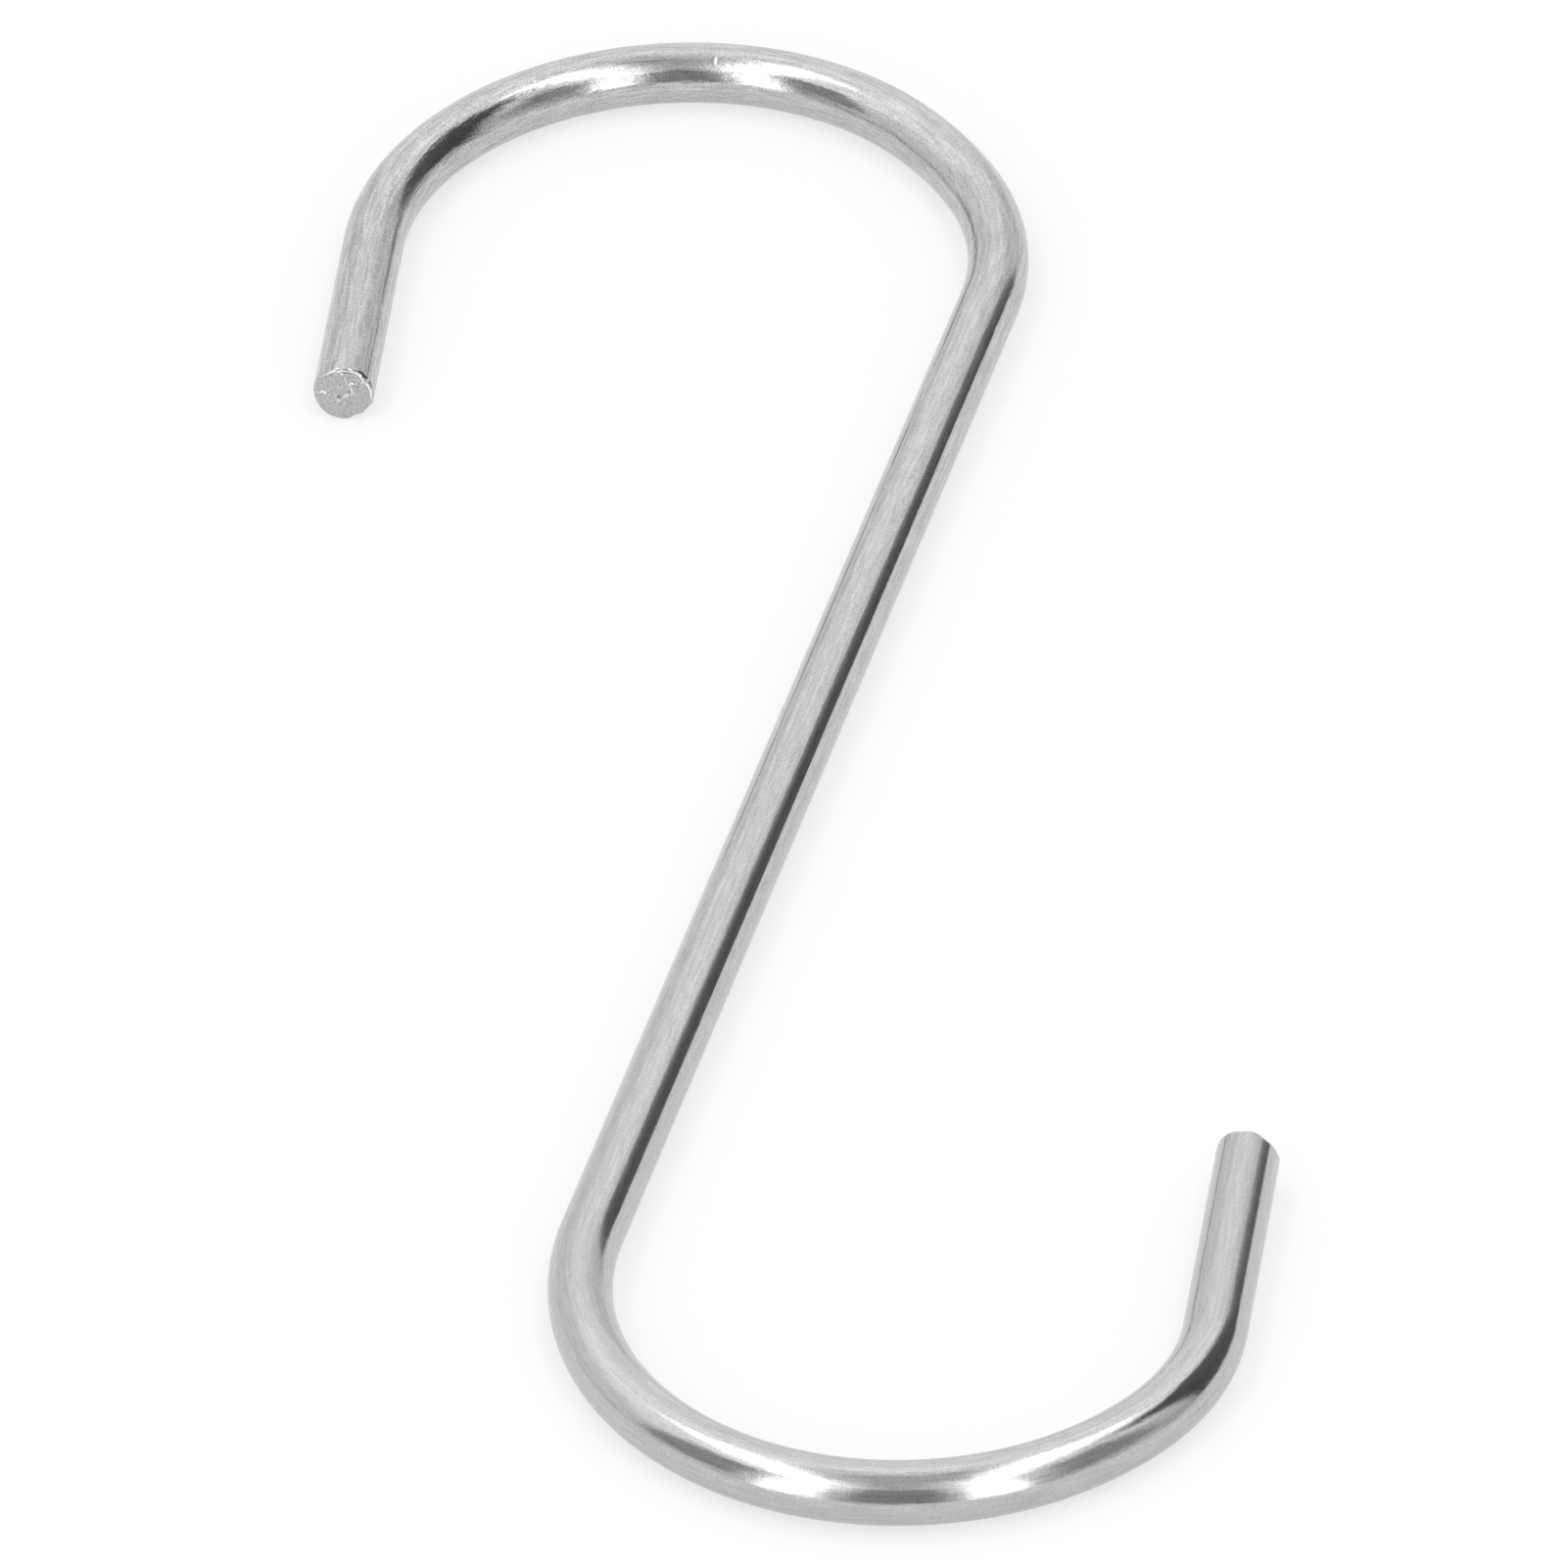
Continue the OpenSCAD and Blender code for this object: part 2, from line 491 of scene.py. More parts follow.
# %% Rings of one cut end, from the side over the rim to the middle
PLATED = np.zeros(AROUND, bool)
TORN = np.ones(AROUND, bool)


def cut_end(place, distance_along, outward, cut):
    """Rings as (points, drawn places, torn, painted highlight on the burr, crater), and the middle
    point's places.
    """
    clock = clocks(outward)
    tall = on_rim(crest, clock, cut)
    bend_r = on_rim(roll, clock, cut)
    burr = on_rim(standing, clock, cut)
    wide = on_rim(burr_width, clock, cut)
    top = leaning(np.full(AROUND, WIRE_R), clock, cut) + LIP_HEIGHTS[0] * tall
    rim = WIRE_R - drawn_in(np.zeros(AROUND), clock, cut)
    inside = rim - bend_r - wide
    rings = []

    def put(radius, height, torn, lip_highlight=0.0, mark=0.0):
        stopped = limited(radius, height, clock, cut)
        ring, drawn = on_skin(place, distance_along, radius, outward * stopped)
        nipped = (stopped < height) & cut["torn_nip"]
        whole_ring = np.ones(AROUND)
        rings.append((ring, drawn, torn | nipped, lip_highlight * whole_ring, mark * whole_ring))

    # The side of the leg, up to where its edge rolls over
    side_top = limited(np.full(AROUND, WIRE_R), top - ROLL_LENGTH * bend_r, clock, cut)
    for share in TRIM_SHARES:
        height = -TRIM + (side_top + TRIM) * share
        put(WIRE_R - drawn_in(top - height, clock, cut), height, PLATED)
    # The rolled edge
    for angle in ROLL_ANGLES:
        short = ROLL_LENGTH * bend_r * (1 - np.sin(angle))
        torn = TORN if angle == ROLL_ANGLES[-1] else PLATED
        put(rim - bend_r * (1 - np.cos(angle)), top - short, torn)
    # The burr
    for share in LIP_SHARES:
        radius = rim - bend_r - wide * share
        profile = np.interp(share, LIP_PLACES, LIP_HEIGHTS)
        # The outer part of the burr gets a painted highlight
        lip_highlight = burr if share < BRIGHT_LIP else 0.0
        put(radius, leaning(radius, clock, cut) + tall * profile, TORN, lip_highlight)
    # The torn face
    for k in range(1, FACE_RINGS):
        radius = inside * (1 - k / FACE_RINGS)
        groove = -GROOVE_SHARE * tall * np.exp(-((inside - radius) / GROOVE_W) ** 2)
        relief = MM * on_face(torn_relief, radius, clock, cut) * min(1.0, k / SETTLE_RINGS)
        mark = on_face(crater, radius, clock, cut)
        put(radius, leaning(radius, clock, cut) + groove + relief, TORN, 0.0, mark)
    middle = outward * MM * torn_relief(0.0, 0.0, cut["seed"])
    centre, drawn = on_skin(place, distance_along, np.zeros(AROUND), middle)
    return rings, centre[0], drawn[0]


upper_rings, upper_middle, upper_drawn = cut_end(line[0], 0.0, -1, UPPER_CUT)
lower_rings, lower_middle, lower_drawn = cut_end(line[-1], along[-1], 1, LOWER_CUT)
print("rings in the upper end:", len(upper_rings), "in the lower end:", len(lower_rings))

# %% [markdown]
# ## The whole wire as one mesh
#
# The rings are joined into one closed skin: the upper tip's rings begin it, the lower tip's end
# it. Faces inside the rims get the torn metal, and all the others the chrome. Edges sharper than
# 50 degrees are marked sharp, so that the bright side and the torn face don't shade into each
# other.

# %% Join the rings
# The plain rings keep a little clear of the first ring of each end
TRIM_CLEAR = TRIM * 1.05
NOTHING = np.zeros(AROUND)
inner = (along > TRIM_CLEAR) & (along < along[-1] - TRIM_CLEAR)
body_rings = []
for place, distance in zip(line[inner], along[inner]):
    ring, drawn = on_skin(place, distance)
    body_rings.append((ring, drawn, PLATED, NOTHING, NOTHING))
rings = upper_rings[::-1] + body_rings + lower_rings
points = np.vstack([r[0] for r in rings] + [upper_middle, lower_middle])
drawn = np.vstack([r[1] for r in rings] + [upper_drawn, lower_drawn])
lip_highlight = np.concatenate([r[3] for r in rings] + [[0.0, 0.0]])
mark = np.concatenate([r[4] for r in rings] + [[0.0, 0.0]])
print("rings:", len(rings), "points:", len(points))

# %% How much bending worked the wire at each point, from 0 to 1
# It is eased over a few millimetres on both sides of a seam, by the mean of some probes
EASE = 4.0 * MM
PROBES = 9
bent_at = np.array([0.0 if stretch[0] == "straight" else 1.0 for stretch in STRETCHES])
ends_at = np.cumsum([length_of(stretch) for stretch in STRETCHES])
probed = np.clip(drawn[:, 2][:, None] + np.linspace(-EASE, EASE, PROBES), 0.0, wire_length)
worked = bent_at[np.minimum(np.searchsorted(ends_at, probed), len(ends_at) - 1)].mean(1)
print("share of the points that bending worked:", round(float((worked > 0).mean()), 2))

# %% Faces between the rings, and the fans that close the two middles
faces = []
torn = []
for k in range(len(rings) - 1):
    both_torn = rings[k][2] & rings[k + 1][2]
    for i in range(AROUND):
        j = (i + 1) % AROUND
        faces.append((k * AROUND + i, (k + 1) * AROUND + i, (k + 1) * AROUND + j, k * AROUND + j))
        torn.append(both_torn[i] and both_torn[j])
last = (len(rings) - 1) * AROUND
for i in range(AROUND):
    j = (i + 1) % AROUND
    faces.append((len(points) - 2, i, j))
    faces.append((len(points) - 1, last + j, last + i))
    torn += [True, True]
print("faces:", len(faces), "torn:", int(sum(torn)))

# %% The mesh, and what its points know for the finishes
SHARP_OVER = np.radians(50.0)
mesh = bpy.data.meshes.new("hook_wire")
mesh.from_pydata(points.tolist(), [], faces)
drawn_place = mesh.attributes.new("drawn_place", "FLOAT_VECTOR", "POINT")
drawn_place.data.foreach_set("vector", drawn.astype(np.float32).ravel())
# Of these, the first marks the painted highlight on the burr's edge, and crater_mark the painted
# shade in pits and highlights on ridges
for name, values in (("burr_highlight", lip_highlight), ("crater_mark", mark), ("bend_work", worked)):
    attribute = mesh.attributes.new(name, "FLOAT", "POINT")
    attribute.data.foreach_set("value", values.astype(np.float32))
mesh.polygons.foreach_set("material_index", np.array(torn, dtype=np.int32))
mesh.polygons.foreach_set("use_smooth", np.ones(len(faces), dtype=bool))
mesh.validate()
mesh.set_sharp_from_angle(angle=SHARP_OVER)
hook = bpy.data.objects.new("hook_wire", mesh)
bpy.context.scene.collection.objects.link(hook)
print("mesh points:", len(mesh.vertices), "mesh faces:", len(mesh.polygons))

# %% [markdown]
# ## Effects that make up the finishes
#
# Each effect is a shader node group, built once. The draw lines are noise stretched along the
# straight wire, in four kinds: fine short streaks, long thin ones, a slow wave around the wire
# and the ripple that bending raises. Only the chrome has them. The cloud is a soft mottling,
# which plating always has, and the grit is a fine sharp texture. The chrome and the torn face
# share these two. All the groups read the place on the straight wire, and put out values only.


# %% Node helpers
def new_group(name, inputs, outputs):
    """An empty node group with the named sockets, and its input and output sockets."""
    group = bpy.data.node_groups.new(name, "ShaderNodeTree")
    for label, kind, value in inputs:
        socket = group.interface.new_socket(label, in_out="INPUT", socket_type=kind)
        if value is not None:
            socket.default_value = value
    for label, kind in outputs:
        group.interface.new_socket(label, in_out="OUTPUT", socket_type=kind)
    source = group.nodes.new("NodeGroupInput")
    sink = group.nodes.new("NodeGroupOutput")
    return group, source.outputs, sink.inputs


def add(tree, kind, **settings):
    """A node of that kind, with its settings."""
    node = tree.nodes.new(kind)
    for name, value in settings.items():
        setattr(node, name, value)
    return node


def math_node(tree, operation, first, second):
    """A Math node whose inputs are sockets or numbers. Returns its output."""
    node = add(tree, "ShaderNodeMath", operation=operation)
    for k, value in enumerate((first, second)):
        if isinstance(value, bpy.types.NodeSocket):
            tree.links.new(value, node.inputs[k])
        else:
            node.inputs[k].default_value = value
    return node.outputs[0]


def remap(tree, value, low_in, high_in, low_out, high_out):
    """A Map Range node, clamped. Returns its output."""
    node = add(tree, "ShaderNodeMapRange")
    tree.links.new(value, node.inputs["Value"])
    for name, number in zip(
        ("From Min", "From Max", "To Min", "To Max"), (low_in, high_in, low_out, high_out)
    ):
        node.inputs[name].default_value = number
    return node.outputs["Result"]


def curve(tree, value, points):
    """A value that runs through (place, level) points, with straight pieces between them."""
    full = max(level for _, level in points)
    ramp = add(tree, "ShaderNodeValToRGB")
    tree.links.new(value, ramp.inputs[0])
    stops = ramp.color_ramp.elements
    for _ in points[2:]:
        stops.new(0.5)
    for stop, (where, level) in zip(stops, points):
        stop.position = where
        stop.color = (level / full, level / full, level / full, 1.0)
    return math_node(tree, "MULTIPLY", ramp.outputs[0], full)


def noise_at(tree, place, scale, detail, roughness):
    """A Noise Texture at a place, with a scale that is a socket or a number. Returns its value."""
    node = add(tree, "ShaderNodeTexNoise")
    tree.links.new(place, node.inputs["Vector"])
    if isinstance(scale, bpy.types.NodeSocket):
        tree.links.new(scale, node.inputs["Scale"])
    else:
        node.inputs["Scale"].default_value = scale
    node.inputs["Detail"].default_value = detail
    node.inputs["Roughness"].default_value = roughness
    return node.outputs["Fac"]


def stretched(tree, place, across, lengthwise):
    """The place scaled across the wire and along it."""
    node = add(tree, "ShaderNodeVectorMath", operation="MULTIPLY")
    tree.links.new(place, node.inputs[0])
    node.inputs[1].default_value = (across, across, lengthwise)
    return node.outputs[0]


print("helpers made: new_group, add, math_node, remap, curve, noise_at, stretched")

# %% Draw lines: fine streaks along the wire
# Name, waves a metre across the wire and along it, and detail
DRAW_LINES = (
    ("Fine", 5000, 420, 3.0),
    ("Long", 4500, 16, 2.0),
    ("Wave", 1700, 16, 3.0),
    ("Ripple", 6000, 1100, 2.0),
)
DRAW_ROUGHNESS = 0.6
lines_group, given, out = new_group(
    "Draw lines",
    [("Place", "NodeSocketVector", None)],
    [(label, "NodeSocketFloat") for label, _, _, _ in DRAW_LINES],
)
for label, across, lengthwise, detail in DRAW_LINES:
    streaks = stretched(lines_group, given["Place"], across, lengthwise)
    value = noise_at(lines_group, streaks, 1.0, detail, DRAW_ROUGHNESS)
    lines_group.links.new(value, out[label])
print("draw lines:", [label for label, _, _, _ in DRAW_LINES])


# %% Cloud and grit: soft mottling and fine sharp texture
def grain_group(name, waves_a_metre, detail, roughness):
    """A node group with a plain noise, even in all directions, whose scale a finish can set."""
    group, given, out = new_group(
        name,
        [("Place", "NodeSocketVector", None), ("Scale", "NodeSocketFloat", waves_a_metre)],
        [("Value", "NodeSocketFloat")],
    )
    value = noise_at(group, given["Place"], given["Scale"], detail, roughness)
    group.links.new(value, out["Value"])
    return group


cloud_group = grain_group("Cloudy plate", 900.0, 3.0, 0.55)
grit_group = grain_group("Fine grit", 7000.0, 4.0, 0.7)
print("shared effects:", [group.name for group in bpy.data.node_groups])

# %% [markdown]
# ## The chrome
#
# Chrome is a metal that mirrors a little more than half of the light, without colour. A perfect
# mirror would look like plastic film, because the eye expects the die's lines and the plate's
# slight cloudiness. They change the colour and the roughness a little, and tilt the surface by a
# degree or so.


# %% A finish starts with its shader and the place on the straight wire
def new_finish(name):
    """A metal with a Principled shader. Returns it, its nodes, the shader and the place."""
    material = bpy.data.materials.new(name)
    material.use_nodes = True
    tree = material.node_tree
    shader = tree.nodes["Principled BSDF"]
    shader.inputs["Metallic"].default_value = 1.0
    place = add(tree, "ShaderNodeAttribute", attribute_name="drawn_place")
    return material, tree, shader, place.outputs["Vector"]


def known(tree, name):
    """A value that the mesh's points know."""
    return add(tree, "ShaderNodeAttribute", attribute_name=name).outputs["Fac"]


def use(tree, group, place, **values):
    """Places a group in a material and joins it to the place. Returns its outputs."""
    node = add(tree, "ShaderNodeGroup", node_tree=group)
    tree.links.new(place, node.inputs["Place"])
    for name, value in values.items():
        node.inputs[name].default_value = value
    return node.outputs


def bumped(tree, height, depth, normal=None, strength=None):
    """A Bump node of that depth in metres, over another normal if there is one."""
    node = add(tree, "ShaderNodeBump")
    node.inputs["Strength"].default_value = 1.0
    if strength is not None:
        tree.links.new(strength, node.inputs["Strength"])
    node.inputs["Distance"].default_value = depth
    tree.links.new(height, node.inputs["Height"])
    if normal is not None:
        tree.links.new(normal, node.inputs["Normal"])
    return node.outputs["Normal"]


def shades(tree, value, dark, light):
    """A colour between two greys."""
    node = add(tree, "ShaderNodeMix", data_type="RGBA")
    tree.links.new(value, node.inputs["Factor"])
    node.inputs["A"].default_value = (*dark, 1.0)
    node.inputs["B"].default_value = (*light, 1.0)
    return node.outputs["Result"]


def over(tree, below, factor, colour):
    """A colour laid over another."""
    node = add(tree, "ShaderNodeMix", data_type="RGBA")
    tree.links.new(factor, node.inputs["Factor"])
    tree.links.new(below, node.inputs["A"])
    node.inputs["B"].default_value = (*colour, 1.0)
    return node.outputs["Result"]


chrome, tree, shader, place = new_finish("chromed_wire")
lines = use(tree, lines_group, place)
cloud = use(tree, cloud_group, place)["Value"]
grit = use(tree, grit_group, place)["Value"]
bend_work = known(tree, "bend_work")
print("finish:", chrome.name)

# %% How strong the grain and the long lines are, by the distance from the upper tip
# Pairs of a distance in metres and a strength. Past the last one, the strength stays.
GRAINED = ((0.0, 1.3), (0.02, 1.3), (0.05, 1.0), (0.11, 0.85), (0.18, 0.5), (0.26, 0.5))
LINED = ((0.0, 0.10), (0.07, 0.10), (0.09, 0.24), (0.15, 0.18), (0.19, 0.06), (0.26, 0.04))
# The distance that stands for 1 on the curves, which is more than the wire has
CURVE_LENGTH = 0.30
split = add(tree, "ShaderNodeSeparateXYZ")
tree.links.new(place, split.inputs[0])
share = math_node(tree, "DIVIDE", split.outputs["Z"], CURVE_LENGTH)
grained = curve(tree, share, [(at / CURVE_LENGTH, level) for at, level in GRAINED])
lined = curve(tree, share, [(at / CURVE_LENGTH, level) for at, level in LINED])
print("wire's share of the curves:", round(wire_length / CURVE_LENGTH, 2))

# %% Colour and roughness of the chrome
# The short streaks and the grit share one noise, whose middle stays at one half
FINE_SHARE = 0.42
GRIT_SHARE = 1 - FINE_SHARE
NOISE_MIDDLE = 0.5
# How far the noise runs to each side of its middle from the dark grey to the light one
COLOUR_REACH = 0.11
DARK_CHROME = (0.42, 0.42, 0.425)
LIGHT_CHROME = (0.70, 0.70, 0.705)
short = math_node(tree, "ADD", math_node(tree, "MULTIPLY", lines["Fine"], FINE_SHARE),
                  math_node(tree, "MULTIPLY", grit, GRIT_SHARE))
short = math_node(tree, "MULTIPLY", math_node(tree, "SUBTRACT", short, NOISE_MIDDLE), grained)
long = math_node(tree, "MULTIPLY", math_node(tree, "SUBTRACT", lines["Long"], NOISE_MIDDLE), lined)
off_middle = math_node(tree, "ADD", short, long)
colour_share = remap(tree, off_middle, -COLOUR_REACH, COLOUR_REACH, 0, 1)
colour = shades(tree, colour_share, DARK_CHROME, LIGHT_CHROME)
tree.links.new(colour, shader.inputs["Base Color"])

# The plate is duller where its grain is weak, and a little uneven by the cloud
WEAK_GRAIN, STRONG_GRAIN = 0.5, 0.85
DULL, BRIGHT = 0.14, 0.03
CLOUD_LOW, CLOUD_HIGH = 0.3, 0.7
CLEAR_SHARE, CLOUDY_SHARE = 0.8, 1.25
smooth = remap(tree, grained, WEAK_GRAIN, STRONG_GRAIN, DULL, BRIGHT)
uneven = remap(tree, cloud, CLOUD_LOW, CLOUD_HIGH, CLEAR_SHARE, CLOUDY_SHARE)
tree.links.new(math_node(tree, "MULTIPLY", smooth, uneven), shader.inputs["Roughness"])
print("chrome's roughness runs from", BRIGHT, "to", DULL)

# %% Bumps of the chrome
# Depths of the bumps. Bending raises a ripple and strengthens the fine streaks and the grit.
WAVE_DEPTH = 6 * MICRON
FINE_DEPTH = 7 * MICRON
RIPPLE_DEPTH = 13 * MICRON
CLOUD_DEPTH = 6 * MICRON
GRIT_DEPTH = 6 * MICRON
STRAIGHT_PEEL = 0.35
peel = math_node(tree, "MULTIPLY", remap(tree, bend_work, 0.0, 1.0, STRAIGHT_PEEL, 1.0), grained)
rippled = math_node(tree, "MULTIPLY", bend_work, grained)
normal = bumped(tree, lines["Wave"], WAVE_DEPTH)
normal = bumped(tree, lines["Fine"], FINE_DEPTH, normal, peel)
normal = bumped(tree, lines["Ripple"], RIPPLE_DEPTH, normal, rippled)
normal = bumped(tree, cloud, CLOUD_DEPTH, normal)
normal = bumped(tree, grit, GRIT_DEPTH, normal, peel)
tree.links.new(normal, shader.inputs["Normal"])
mesh.materials.append(chrome)
print("nodes in the chrome:", len(tree.nodes))

# %% [markdown]
# ## The torn ends
#
# The wire is plated after it is cut, so the torn face is chromed too, but the plate follows every
# grain of the tear. It scatters light, and looks a matt mottled grey with small bright points.
# The mesh's points know where a ridge, a pit or the burr's outer edge is, and the colour paints
# shade into the pits and highlights onto the ridges and the burr's edge.

# %% Torn steel and its roughness
# Waves a metre of the cloud, which is finer here than on the plate
TORN_CLOUD = 3000.0
torn_steel, tree, shader, place = new_finish("torn_end")
cloud = use(tree, cloud_group, place, Scale=TORN_CLOUD)["Value"]
grit = use(tree, grit_group, place)["Value"]
# Where the burr's edge gets its painted highlight
edge = known(tree, "burr_highlight")
# The crater's mark, where the pits get painted shade and the ridges a painted highlight
mark = known(tree, "crater_mark")

# Roughness from the cloud's low to its high, and the share of it that is left where the burr's edge
# has its painted highlight
LEAST_TORN, MOST_TORN = 0.20, 0.34
EDGE_SHARE = 0.4
dull = remap(tree, cloud, CLOUD_LOW, CLOUD_HIGH, LEAST_TORN, MOST_TORN)
rough = math_node(tree, "MULTIPLY", dull, remap(tree, edge, 0.0, 1.0, 1.0, EDGE_SHARE))
tree.links.new(rough, shader.inputs["Roughness"])
print("torn face's roughness runs from", LEAST_TORN, "to", MOST_TORN)

# %% Colours of the torn face
# Greys of the grain, the painted shade in pits, the painted highlights on ridges and burr edge, and
# where on the mark they show
GRIT_LOW, GRIT_HIGH = 0.35, 0.65
DARK_TORN = (0.42, 0.42, 0.42)
LIGHT_TORN = (0.64, 0.64, 0.635)
# Painted shade in the pits
PIT_SHADE_GREY = (0.36, 0.36, 0.36)
PIT_EDGE, PIT_FLOOR = -0.25, -1.0
# Painted highlight on the ridges
RIDGE_HIGHLIGHT_GREY = (0.77, 0.77, 0.765)
RIDGE_FOOT, RIDGE_TOP = 0.25, 0.8
# A painted highlight on the burr's outer edge
BURR_HIGHLIGHT_GREY = (0.98, 0.98, 0.975)
grain = shades(tree, remap(tree, grit, GRIT_LOW, GRIT_HIGH, 0, 1), DARK_TORN, LIGHT_TORN)
# Painted shade in the pits, then painted highlights on the ridges and on the burr's edge
pit_shaded = over(tree, grain, remap(tree, mark, PIT_EDGE, PIT_FLOOR, 0, 1), PIT_SHADE_GREY)
ridge_highlit = over(tree, pit_shaded, remap(tree, mark, RIDGE_FOOT, RIDGE_TOP, 0, 1), RIDGE_HIGHLIGHT_GREY)
tree.links.new(over(tree, ridge_highlit, edge, BURR_HIGHLIGHT_GREY), shader.inputs["Base Color"])
print("torn greys from", PIT_SHADE_GREY[0], "in a pit to", RIDGE_HIGHLIGHT_GREY[0], "on a ridge")

# %% Bumps of the torn face
TORN_CLOUD_DEPTH = 24 * MICRON
TORN_GRIT_DEPTH = 8 * MICRON
normal = bumped(tree, cloud, TORN_CLOUD_DEPTH)
normal = bumped(tree, grit, TORN_GRIT_DEPTH, normal)
tree.links.new(normal, shader.inputs["Normal"])
mesh.materials.append(torn_steel)
print("finishes on the wire:", [material.name for material in mesh.materials])

# %% [markdown]
# ## The floor
#
# A plain matt white floor. A grey surface takes the light and the hook's shadow, and the rest of
# the white is a glow that only the camera and mirrors see. So the floor is white in the picture
# and in the chrome, and its glow lights nothing.

# %% Floor
FLOOR_HALF = 6.0
FLOOR_GREY = 0.35
FLOOR_GLOW_SEEN = 0.635
FLOOR_GLOW_MIRRORED = 0.53
CORNERS = ((-1, -1), (1, -1), (1, 1), (-1, 1))
floor_mesh = bpy.data.meshes.new("floor")
floor_mesh.from_pydata(
    [(x * FLOOR_HALF, y * FLOOR_HALF, 0.0) for x, y in CORNERS], [], [(0, 1, 2, 3)]
)
floor = bpy.data.objects.new("floor", floor_mesh)
bpy.context.scene.collection.objects.link(floor)

floor_finish = bpy.data.materials.new("matt_white")
floor_finish.use_nodes = True
tree = floor_finish.node_tree
shader = tree.nodes["Principled BSDF"]
shader.inputs["Base Color"].default_value = (FLOOR_GREY, FLOOR_GREY, FLOOR_GREY, 1.0)
shader.inputs["Roughness"].default_value = 0.6
shader.inputs["Specular IOR Level"].default_value = 0.0
shader.inputs["Emission Color"].default_value = (1.0, 1.0, 1.0, 1.0)
path = add(tree, "ShaderNodeLightPath").outputs
mirrored = math_node(tree, "MAXIMUM", path["Is Glossy Ray"], path["Is Transmission Ray"])
glow = math_node(
    tree, "ADD", math_node(tree, "MULTIPLY", path["Is Camera Ray"], FLOOR_GLOW_SEEN),
    math_node(tree, "MULTIPLY", mirrored, FLOOR_GLOW_MIRRORED),
)
tree.links.new(glow, shader.inputs["Emission Strength"])
floor_mesh.materials.append(floor_finish)
print("floor, m:", 2 * FLOOR_HALF, "glow:", FLOOR_GLOW_SEEN, FLOOR_GLOW_MIRRORED)

# %% [markdown]
# ## The studio
#
# Chrome has hardly any look of its own: it shows the room. The room here is a white dome with two
# long soft boxes overhead, two upright ones in front at the left and right, and grey and black
# cards that give the wire its dark lines. The cards only show in the metal, and cast no shadow.
# Panels of plain emission are simplest for this, because their strength is the brightness that
# the metal mirrors.


# %% Panels
def panel(name, centre, half_u, half_v, levels, lights_up):
    """A flat panel that the camera doesn't see. One that lights nothing up is a card."""
    centre, half_u, half_v = Vector(centre), Vector(half_u), Vector(half_v)
    shape = bpy.data.meshes.new(name)
    corners = [centre + a * half_u + b * half_v for a, b in CORNERS]
    shape.from_pydata(corners, [], [(0, 1, 2, 3)])
    item = bpy.data.objects.new(name, shape)
    bpy.context.scene.collection.objects.link(item)
    material = bpy.data.materials.new(name)
    material.use_nodes = True
    tree = material.node_tree
    tree.nodes.clear()
    light = add(tree, "ShaderNodeEmission")
    across = add(tree, "ShaderNodeSeparateXYZ")
    tree.links.new(add(tree, "ShaderNodeTexCoord").outputs["Generated"], across.inputs[0])
    tree.links.new(curve(tree, across.outputs["X"], levels), light.inputs["Strength"])
    sink = add(tree, "ShaderNodeOutputMaterial")
    tree.links.new(light.outputs[0], sink.inputs["Surface"])
    shape.materials.append(material)
    item.visible_camera = False
    item.visible_diffuse = lights_up
    item.visible_shadow = lights_up


def overhead(name, axis, left, right, front, back, height, levels, lights_up):
    """A level panel. Axis turns it about the hook, in degrees clockwise from +Y."""
    turn = np.radians(axis)
    across = Vector((np.cos(turn), -np.sin(turn), 0.0))
    ahead = Vector((np.sin(turn), np.cos(turn), 0.0))
    centre = across * (left + right) / 2 + ahead * (front + back) / 2 + Vector((0, 0, height))
    half_across = across * (right - left) / 2
    panel(name, centre, half_across, ahead * (back - front) / 2, levels, lights_up)


def upright(name, start, end, bottom, top, levels, lights_up):
    """An upright panel over a line on the floor."""
    a, b = Vector((*start, 0.0)), Vector((*end, 0.0))
    centre = (a + b) / 2 + Vector((0, 0, (bottom + top) / 2))
    panel(name, centre, (b - a) / 2, Vector((0, 0, (top - bottom) / 2)), levels, lights_up)


def facing(azimuth, distance, width):
    """The ends of a line on the floor that faces the hook, azimuth clockwise from +Y."""
    turn = np.radians(azimuth)
    middle = Vector((np.sin(turn), np.cos(turn))) * distance
    half = Vector((np.cos(turn), -np.sin(turn))) * width / 2
    return middle - half, middle + half


def even(level):
    """The same strength all over a panel."""
    return (0.0, level), (1.0, level)


print("a line 1 m behind the hook:", [tuple(round(v, 2) for v in end) for end in facing(0, 1, 0.5)])

# %% Soft boxes
# An overhead panel has an axis, its left, right, front and back edges, and a height, in metres.
# An upright one has a line on the floor, a bottom and a top.
SOFT_BOX = even(2.4)
overhead("soft_box_left", -10, -0.435, -0.21, -0.60, 0.33, 0.82, SOFT_BOX, True)
overhead("soft_box_right", -18, 0.142, 0.357, -0.66, 0.275, 0.79, SOFT_BOX, True)
upright("tall_box_left", *facing(-159.7, 1.5, 0.45), 0.0, 1.72, SOFT_BOX, True)
upright("tall_box_right", *facing(141.7, 1.15, 0.335), 0.0, 1.22, SOFT_BOX, True)

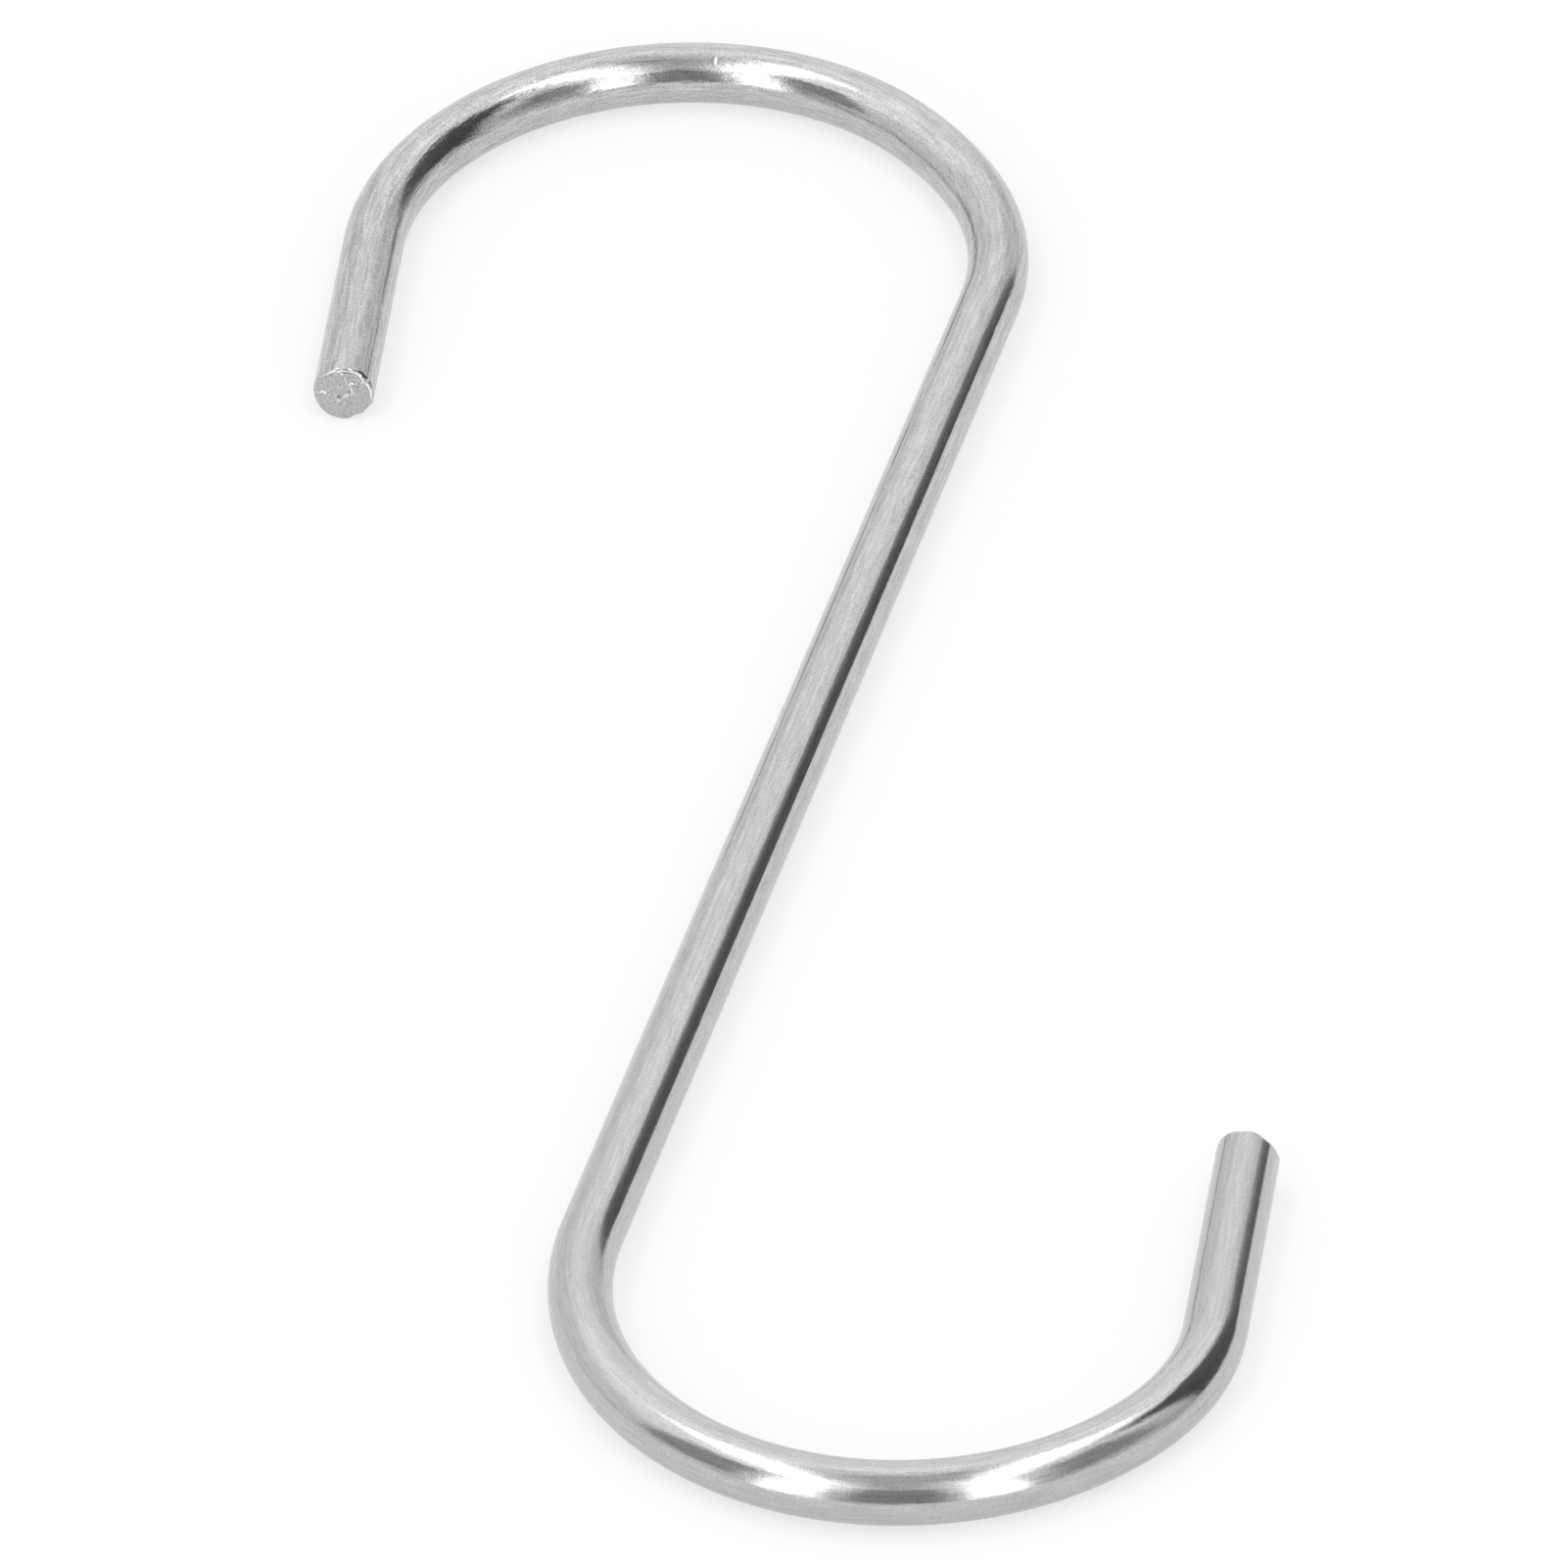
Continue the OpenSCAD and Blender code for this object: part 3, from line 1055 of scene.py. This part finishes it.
# %% Grey and black cards
# The black card stands on a light one. Its strength is in pairs of a share and a level, from its
# left end, which catches some light, to the right.
CARD_LEFT = (0.370, 0.670)
CARD_RIGHT = (0.531, 0.112)
CARD_FOOT = 0.052
BLACK_CARD = ((0.0, 0.42), (0.12, 0.24), (0.25, 0.13), (1.0, 0.08))
upright("black_card", CARD_LEFT, CARD_RIGHT, CARD_FOOT, 0.93, BLACK_CARD, False)
upright("light_under_card", CARD_LEFT, CARD_RIGHT, 0.0, CARD_FOOT, even(0.88), False)
upright("grey_card_right", (0.484, -0.05), (0.606, -0.40), 0.117, 0.665, even(0.35), False)
upright("grey_card_left", *facing(-128.6, 1.1, 0.62), 0.20, 1.29, even(0.36), False)
upright("dark_front", *facing(169.6, 2.1, 1.02), 0.0, 2.3, even(0.30), False)
upright("white_back_wall", *facing(-17.0, 2.0, 1.37), 0.0, 1.5, even(1.02), False)
overhead("dim_ceiling", -9, -0.11, 0.105, -0.79, 0.084, 0.84, even(0.56), False)

# %% The dome
# Brightness by the sine of the height above the horizon, and what it gains towards +X and +Y
DOME_RISE = ((0, 0.69), (0.26, 0.73), (0.5, 0.78), (0.707, 1.08), (0.866, 1.08), (1, 0.71))
DOME_TO_RIGHT = -0.16
DOME_TO_BACK = 0.09
# What the dome gives to matt things, and what the camera sees of it
DOME_SOFT = 0.8
DOME_SEEN = 1.0
world = bpy.data.worlds.new("white_dome")
bpy.context.scene.world = world
world.use_nodes = True
tree = world.node_tree
background = tree.nodes["Background"]
background.inputs["Color"].default_value = (1.0, 1.0, 1.0, 1.0)
split = add(tree, "ShaderNodeSeparateXYZ")
tree.links.new(add(tree, "ShaderNodeTexCoord").outputs["Generated"], split.inputs[0])
rise = curve(tree, split.outputs["Z"], DOME_RISE)
to_right = math_node(tree, "MULTIPLY", split.outputs["X"], DOME_TO_RIGHT)
to_back = math_node(tree, "MULTIPLY", split.outputs["Y"], DOME_TO_BACK)
uneven = math_node(tree, "ADD", math_node(tree, "ADD", to_right, to_back), 1.0)
mirrored = math_node(tree, "MULTIPLY", rise, uneven)
path = add(tree, "ShaderNodeLightPath").outputs
soft_or_mirrored = add(tree, "ShaderNodeMix", data_type="FLOAT")
tree.links.new(path["Is Glossy Ray"], soft_or_mirrored.inputs["Factor"])
soft_or_mirrored.inputs["A"].default_value = DOME_SOFT
tree.links.new(mirrored, soft_or_mirrored.inputs["B"])
camera_too = add(tree, "ShaderNodeMix", data_type="FLOAT")
tree.links.new(path["Is Camera Ray"], camera_too.inputs["Factor"])
tree.links.new(soft_or_mirrored.outputs["Result"], camera_too.inputs["A"])
camera_too.inputs["B"].default_value = DOME_SEEN
tree.links.new(camera_too.outputs["Result"], background.inputs["Strength"])
print("dome, soft light:", DOME_SOFT, "brightest mirrored:", max(level for _, level in DOME_RISE))

# %% [markdown]
# ## The camera
#
# The photograph was taken from about 1.2 m away with a long lens, looking down at the hook as it
# lies. The place of the camera follows from the hook's outline in the picture.

# %% Camera
# It looks at AIM from a distance, with an azimuth counted from -Y towards +X
AIM = Vector((0.82, -3.43, 2.0)) * MM
CAMERA_DISTANCE = 1241.15 * MM
CAMERA_AZIMUTH = np.radians(16.789)
CAMERA_ELEVATION = np.radians(38.351)
CAMERA_ROLL = np.radians(-2.794)
# Width of the picture and focal length of the lens, in pixels
FIELD_PIXELS = 1601
FOCAL_PIXELS = 20000
camera_data = bpy.data.cameras.new("camera")
camera_data.sensor_width = 36.0
camera_data.lens = camera_data.sensor_width * FOCAL_PIXELS / FIELD_PIXELS
camera_data.clip_start = 0.05
camera_data.clip_end = 50.0
camera = bpy.data.objects.new("camera", camera_data)
bpy.context.scene.collection.objects.link(camera)
back = Vector((
    np.sin(CAMERA_AZIMUTH) * np.cos(CAMERA_ELEVATION),
    -np.cos(CAMERA_AZIMUTH) * np.cos(CAMERA_ELEVATION),
    np.sin(CAMERA_ELEVATION),
))
level = (-back).to_track_quat("-Z", "Y").to_matrix().to_4x4()
camera.matrix_world = (
    Matrix.Translation(AIM + back * CAMERA_DISTANCE) @ level @ Matrix.Rotation(CAMERA_ROLL, 4, "Z")
)
bpy.context.scene.camera = camera
bpy.context.scene.view_settings.view_transform = "Standard"
print("lens, mm:", round(camera_data.lens, 2), "from:", [round(v, 4) for v in camera.location])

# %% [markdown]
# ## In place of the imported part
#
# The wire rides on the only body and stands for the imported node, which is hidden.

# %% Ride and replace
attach(hook, "root")
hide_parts("s_hook")
